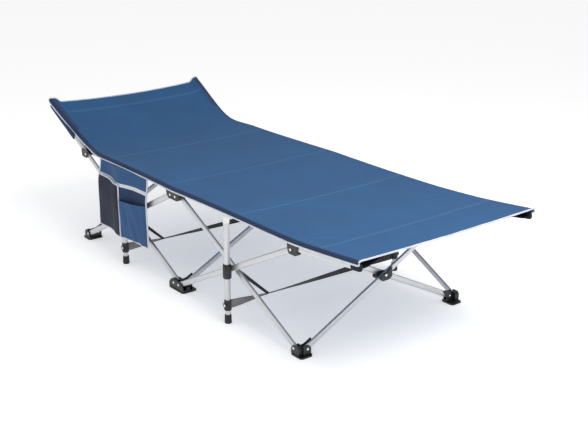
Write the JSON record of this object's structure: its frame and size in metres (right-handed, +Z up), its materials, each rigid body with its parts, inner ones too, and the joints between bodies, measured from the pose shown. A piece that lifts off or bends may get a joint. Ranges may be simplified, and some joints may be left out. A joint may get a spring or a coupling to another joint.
{
  "type": "folding camp bed",
  "caption": "Folding camp bed: a fabric bed on crossed flat oval tubes with moulded knuckles and support posts, a raised head end and a hanging side pocket.",
  "frame": {"origin": "on the floor, under the middle of the whole object's bounding box", "axes": "+X along the bed, from the raised head end to the foot end; -Y is the near side that carries the pocket; +Z up"},
  "size_m": [1.868, 0.784, 0.5018],
  "materials": {
    "silver_tube": "silver grey, satin",
    "black_nylon": "moulded, satin",
    "black_rubber": "matte",
    "rivet_steel": "bright zinc",
    "bed_cloth": "woven, coated, matte",
    "pocket_cloth": "woven and mesh, matte",
    "webbing": "woven band, matte"
  },
  "bodies": {
    "foot_mid_near": {"foot_mid_near": "black_nylon"},
    "cross_tube_rising_mid": {"cross_tube_rising_mid": "silver_tube"},
    "cross_hub_mid": {"cross_hub_mid": "black_nylon"},
    "top_bracket_mid_far": {"top_bracket_mid_far": "black_nylon"},
    "cross_tube_falling_mid": {"cross_tube_falling_mid": "silver_tube"},
    "top_bracket_mid_near": {"top_bracket_mid_near": "black_nylon"},
    "foot_mid_far": {"foot_mid_far": "black_nylon"},
    "side_tube_outer_foot_near": {"side_tube_outer_foot_near": "silver_tube", "bed_foot_near": "bed_cloth"},
    "top_bracket_foot_near": {"top_bracket_foot_near": "black_nylon"},
    "side_tube_inner_foot_near": {"side_tube_inner_foot_near": "silver_tube"},
    "post_foot_near": {"post_foot_near": "silver_tube", "post_collar_foot_near": "black_nylon", "post_pin_foot_near": "rivet_steel", "post_shoe_foot_near": "black_rubber", "strap_clip_foot_near": "black_nylon", "cross_strap_foot": "webbing"},
    "foot_foot_near": {"foot_foot_near": "black_nylon"},
    "side_tube_inner_head_near": {"side_tube_inner_head_near": "silver_tube", "bed_head_near": "bed_cloth"},
    "top_bracket_head_near": {"top_bracket_head_near": "black_nylon", "side_pocket": "pocket_cloth"},
    "side_tube_outer_head_near": {"side_tube_outer_head_near": "silver_tube"},
    "post_head_near": {"post_head_near": "silver_tube", "post_collar_head_near": "black_nylon", "post_pin_head_near": "rivet_steel", "post_shoe_head_near": "black_rubber", "strap_clip_head_near": "black_nylon", "cross_strap_head": "webbing"},
    "foot_head_near": {"foot_head_near": "black_nylon"},
    "side_tube_outer_foot_far": {"side_tube_outer_foot_far": "silver_tube", "bed_foot_far": "bed_cloth"},
    "top_bracket_foot_far": {"top_bracket_foot_far": "black_nylon"},
    "side_tube_inner_foot_far": {"side_tube_inner_foot_far": "silver_tube"},
    "post_foot_far": {"post_foot_far": "silver_tube", "post_collar_foot_far": "black_nylon", "post_pin_foot_far": "rivet_steel", "post_shoe_foot_far": "black_rubber", "strap_clip_foot_far": "black_nylon"},
    "foot_foot_far": {"foot_foot_far": "black_nylon"},
    "side_tube_inner_head_far": {"side_tube_inner_head_far": "silver_tube", "bed_head_far": "bed_cloth"},
    "top_bracket_head_far": {"top_bracket_head_far": "black_nylon"},
    "side_tube_outer_head_far": {"side_tube_outer_head_far": "silver_tube"},
    "post_head_far": {"post_head_far": "silver_tube", "post_collar_head_far": "black_nylon", "post_pin_head_far": "rivet_steel", "post_shoe_head_far": "black_rubber", "strap_clip_head_far": "black_nylon"},
    "foot_head_far": {"foot_head_far": "black_nylon"},
    "bed_middle_near": {"bed_middle_near": "bed_cloth"},
    "bed_middle_far": {"bed_middle_far": "bed_cloth"},
    "cross_tube_rising_head": {"cross_tube_rising_head": "silver_tube"},
    "cross_hub_head": {"cross_hub_head": "black_nylon"},
    "cross_tube_falling_head": {"cross_tube_falling_head": "silver_tube"},
    "cross_tube_rising_foot": {"cross_tube_rising_foot": "silver_tube"},
    "cross_hub_foot": {"cross_hub_foot": "black_nylon"},
    "cross_tube_falling_foot": {"cross_tube_falling_foot": "silver_tube"}
  },
  "joints": [
    {"name": "fold", "type": "hinge", "parent": "foot_mid_near", "child": "cross_tube_rising_mid", "pos_m": [-0.002, -0.3005, 0.024], "axis": [1, 0, 0], "range_deg": [0, 56]},
    {"name": "hub_mid_turn", "type": "hinge", "parent": "cross_tube_rising_mid", "child": "cross_hub_mid", "pos_m": [-0.002, 0.013, 0.184], "axis": [1, 0, 0], "range_deg": [-56, 0]},
    {"name": "bracket_mid_far_turn", "type": "hinge", "parent": "cross_tube_rising_mid", "child": "top_bracket_mid_far", "pos_m": [-0.002, 0.3265, 0.344], "axis": [1, 0, 0], "range_deg": [-56, 0]},
    {"name": "falling_mid_swing", "type": "hinge", "parent": "cross_tube_rising_mid", "child": "cross_tube_falling_mid", "pos_m": [-0.0105, 0.013, 0.184], "axis": [1, 0, 0], "range_deg": [-112, 0]},
    {"name": "bracket_mid_near_turn", "type": "hinge", "parent": "cross_tube_falling_mid", "child": "top_bracket_mid_near", "pos_m": [-0.019, -0.3005, 0.344], "axis": [1, 0, 0], "range_deg": [0, 56]},
    {"name": "foot_mid_far_turn", "type": "hinge", "parent": "cross_tube_falling_mid", "child": "foot_mid_far", "pos_m": [-0.019, 0.3265, 0.024], "axis": [1, 0, 0], "range_deg": [0, 56]},
    {"name": "outer_foot_near_swing", "type": "hinge", "parent": "foot_mid_near", "child": "side_tube_outer_foot_near", "pos_m": [0.005, -0.3342, 0.024], "axis": [0, 1, 0], "range_deg": [-56, 0], "deforming": ["bed_foot_near"]},
    {"name": "bracket_foot_near_turn", "type": "hinge", "parent": "side_tube_outer_foot_near", "child": "top_bracket_foot_near", "pos_m": [0.632, -0.3342, 0.344], "axis": [0, 1, 0], "range_deg": [0, 56]},
    {"name": "inner_foot_near_swing", "type": "hinge", "parent": "side_tube_outer_foot_near", "child": "side_tube_inner_foot_near", "pos_m": [0.3185, -0.3222, 0.184], "axis": [0, 1, 0], "range_deg": [0, 112]},
    {"name": "post_foot_near_turn", "type": "hinge", "parent": "side_tube_outer_foot_near", "child": "post_foot_near", "pos_m": [0.3185, -0.3222, 0.184], "axis": [0, 1, 0], "range_deg": [0, 56], "deforming": ["cross_strap_foot"]},
    {"name": "foot_foot_near_turn", "type": "hinge", "parent": "side_tube_inner_foot_near", "child": "foot_foot_near", "pos_m": [0.632, -0.3222, 0.024], "axis": [0, 1, 0], "range_deg": [-56, 0]},
    {"name": "inner_head_near_swing", "type": "hinge", "parent": "foot_mid_near", "child": "side_tube_inner_head_near", "pos_m": [-0.026, -0.3222, 0.024], "axis": [0, 1, 0], "range_deg": [0, 56], "deforming": ["bed_head_near"]},
    {"name": "bracket_head_near_turn", "type": "hinge", "parent": "side_tube_inner_head_near", "child": "top_bracket_head_near", "pos_m": [-0.653, -0.3222, 0.344], "axis": [0, 1, 0], "range_deg": [-56, 0], "deforming": ["side_pocket"]},
    {"name": "outer_head_near_swing", "type": "hinge", "parent": "side_tube_inner_head_near", "child": "side_tube_outer_head_near", "pos_m": [-0.3395, -0.3222, 0.184], "axis": [0, 1, 0], "range_deg": [-112, 0]},
    {"name": "post_head_near_turn", "type": "hinge", "parent": "side_tube_inner_head_near", "child": "post_head_near", "pos_m": [-0.3395, -0.3222, 0.184], "axis": [0, 1, 0], "range_deg": [-56, 0], "deforming": ["cross_strap_head"]},
    {"name": "foot_head_near_turn", "type": "hinge", "parent": "side_tube_outer_head_near", "child": "foot_head_near", "pos_m": [-0.653, -0.3342, 0.024], "axis": [0, 1, 0], "range_deg": [0, 56]},
    {"name": "outer_foot_far_swing", "type": "hinge", "parent": "foot_mid_far", "child": "side_tube_outer_foot_far", "pos_m": [0.005, 0.3602, 0.024], "axis": [0, 1, 0], "range_deg": [-56, 0], "deforming": ["bed_foot_far"]},
    {"name": "bracket_foot_far_turn", "type": "hinge", "parent": "side_tube_outer_foot_far", "child": "top_bracket_foot_far", "pos_m": [0.632, 0.3602, 0.344], "axis": [0, 1, 0], "range_deg": [0, 56]},
    {"name": "inner_foot_far_swing", "type": "hinge", "parent": "side_tube_outer_foot_far", "child": "side_tube_inner_foot_far", "pos_m": [0.3185, 0.3482, 0.184], "axis": [0, 1, 0], "range_deg": [0, 112]},
    {"name": "post_foot_far_turn", "type": "hinge", "parent": "side_tube_outer_foot_far", "child": "post_foot_far", "pos_m": [0.3185, 0.3482, 0.184], "axis": [0, 1, 0], "range_deg": [0, 56]},
    {"name": "foot_foot_far_turn", "type": "hinge", "parent": "side_tube_inner_foot_far", "child": "foot_foot_far", "pos_m": [0.632, 0.3482, 0.024], "axis": [0, 1, 0], "range_deg": [-56, 0]},
    {"name": "inner_head_far_swing", "type": "hinge", "parent": "foot_mid_far", "child": "side_tube_inner_head_far", "pos_m": [-0.026, 0.3482, 0.024], "axis": [0, 1, 0], "range_deg": [0, 56], "deforming": ["bed_head_far"]},
    {"name": "bracket_head_far_turn", "type": "hinge", "parent": "side_tube_inner_head_far", "child": "top_bracket_head_far", "pos_m": [-0.653, 0.3482, 0.344], "axis": [0, 1, 0], "range_deg": [-56, 0]},
    {"name": "outer_head_far_swing", "type": "hinge", "parent": "side_tube_inner_head_far", "child": "side_tube_outer_head_far", "pos_m": [-0.3395, 0.3482, 0.184], "axis": [0, 1, 0], "range_deg": [-112, 0]},
    {"name": "post_head_far_turn", "type": "hinge", "parent": "side_tube_inner_head_far", "child": "post_head_far", "pos_m": [-0.3395, 0.3482, 0.184], "axis": [0, 1, 0], "range_deg": [-56, 0]},
    {"name": "foot_head_far_turn", "type": "hinge", "parent": "side_tube_outer_head_far", "child": "foot_head_far", "pos_m": [-0.653, 0.3602, 0.024], "axis": [0, 1, 0], "range_deg": [0, 56]},
    {"name": "bed_near_fold", "type": "hinge", "parent": "top_bracket_mid_near", "child": "bed_middle_near", "pos_m": [-0.0105, -0.337, 0.3635], "axis": [1, 0, 0], "range_deg": [0, 76.93], "deforming": ["bed_middle_near"]},
    {"name": "bed_far_fold", "type": "hinge", "parent": "top_bracket_mid_far", "child": "bed_middle_far", "pos_m": [-0.0105, 0.363, 0.3635], "axis": [1, 0, 0], "range_deg": [-76.93, 0], "deforming": ["bed_middle_far"]},
    {"name": "rising_head_swing", "type": "hinge", "parent": "foot_head_near", "child": "cross_tube_rising_head", "pos_m": [-0.6575, -0.3005, 0.024], "axis": [1, 0, 0], "range_deg": [0, 56]},
    {"name": "hub_head_turn", "type": "hinge", "parent": "cross_tube_rising_head", "child": "cross_hub_head", "pos_m": [-0.6575, 0.013, 0.184], "axis": [1, 0, 0], "range_deg": [-56, 0]},
    {"name": "falling_head_swing", "type": "hinge", "parent": "cross_tube_rising_head", "child": "cross_tube_falling_head", "pos_m": [-0.666, 0.013, 0.184], "axis": [1, 0, 0], "range_deg": [-112, 0]},
    {"name": "rising_foot_swing", "type": "hinge", "parent": "foot_foot_near", "child": "cross_tube_rising_foot", "pos_m": [0.6535, -0.3005, 0.024], "axis": [1, 0, 0], "range_deg": [0, 56]},
    {"name": "hub_foot_turn", "type": "hinge", "parent": "cross_tube_rising_foot", "child": "cross_hub_foot", "pos_m": [0.6535, 0.013, 0.184], "axis": [1, 0, 0], "range_deg": [-56, 0]},
    {"name": "falling_foot_swing", "type": "hinge", "parent": "cross_tube_rising_foot", "child": "cross_tube_falling_foot", "pos_m": [0.645, 0.013, 0.184], "axis": [1, 0, 0], "range_deg": [-112, 0]}
  ],
  "couplings": [
    {"joint": "hub_mid_turn", "follows": "fold", "ratio": -1},
    {"joint": "bracket_mid_far_turn", "follows": "fold", "ratio": -1},
    {"joint": "falling_mid_swing", "follows": "fold", "ratio": -2},
    {"joint": "bracket_mid_near_turn", "follows": "fold", "ratio": 1},
    {"joint": "foot_mid_far_turn", "follows": "fold", "ratio": 1},
    {"joint": "outer_foot_near_swing", "follows": "fold", "ratio": -1},
    {"joint": "bracket_foot_near_turn", "follows": "fold", "ratio": 1},
    {"joint": "inner_foot_near_swing", "follows": "fold", "ratio": 2},
    {"joint": "post_foot_near_turn", "follows": "fold", "ratio": 1},
    {"joint": "foot_foot_near_turn", "follows": "fold", "ratio": -1},
    {"joint": "inner_head_near_swing", "follows": "fold", "ratio": 1},
    {"joint": "bracket_head_near_turn", "follows": "fold", "ratio": -1},
    {"joint": "outer_head_near_swing", "follows": "fold", "ratio": -2},
    {"joint": "post_head_near_turn", "follows": "fold", "ratio": -1},
    {"joint": "foot_head_near_turn", "follows": "fold", "ratio": 1},
    {"joint": "outer_foot_far_swing", "follows": "fold", "ratio": -1},
    {"joint": "bracket_foot_far_turn", "follows": "fold", "ratio": 1},
    {"joint": "inner_foot_far_swing", "follows": "fold", "ratio": 2},
    {"joint": "post_foot_far_turn", "follows": "fold", "ratio": 1},
    {"joint": "foot_foot_far_turn", "follows": "fold", "ratio": -1},
    {"joint": "inner_head_far_swing", "follows": "fold", "ratio": 1},
    {"joint": "bracket_head_far_turn", "follows": "fold", "ratio": -1},
    {"joint": "outer_head_far_swing", "follows": "fold", "ratio": -2},
    {"joint": "post_head_far_turn", "follows": "fold", "ratio": -1},
    {"joint": "foot_head_far_turn", "follows": "fold", "ratio": 1},
    {"joint": "bed_near_fold", "follows": "fold", "ratio": 1.3737},
    {"joint": "bed_far_fold", "follows": "fold", "ratio": -1.3737},
    {"joint": "rising_head_swing", "follows": "fold", "ratio": 1},
    {"joint": "hub_head_turn", "follows": "fold", "ratio": -1},
    {"joint": "falling_head_swing", "follows": "fold", "ratio": -2},
    {"joint": "rising_foot_swing", "follows": "fold", "ratio": 1},
    {"joint": "hub_foot_turn", "follows": "fold", "ratio": -1},
    {"joint": "falling_foot_swing", "follows": "fold", "ratio": -2}
  ]
}
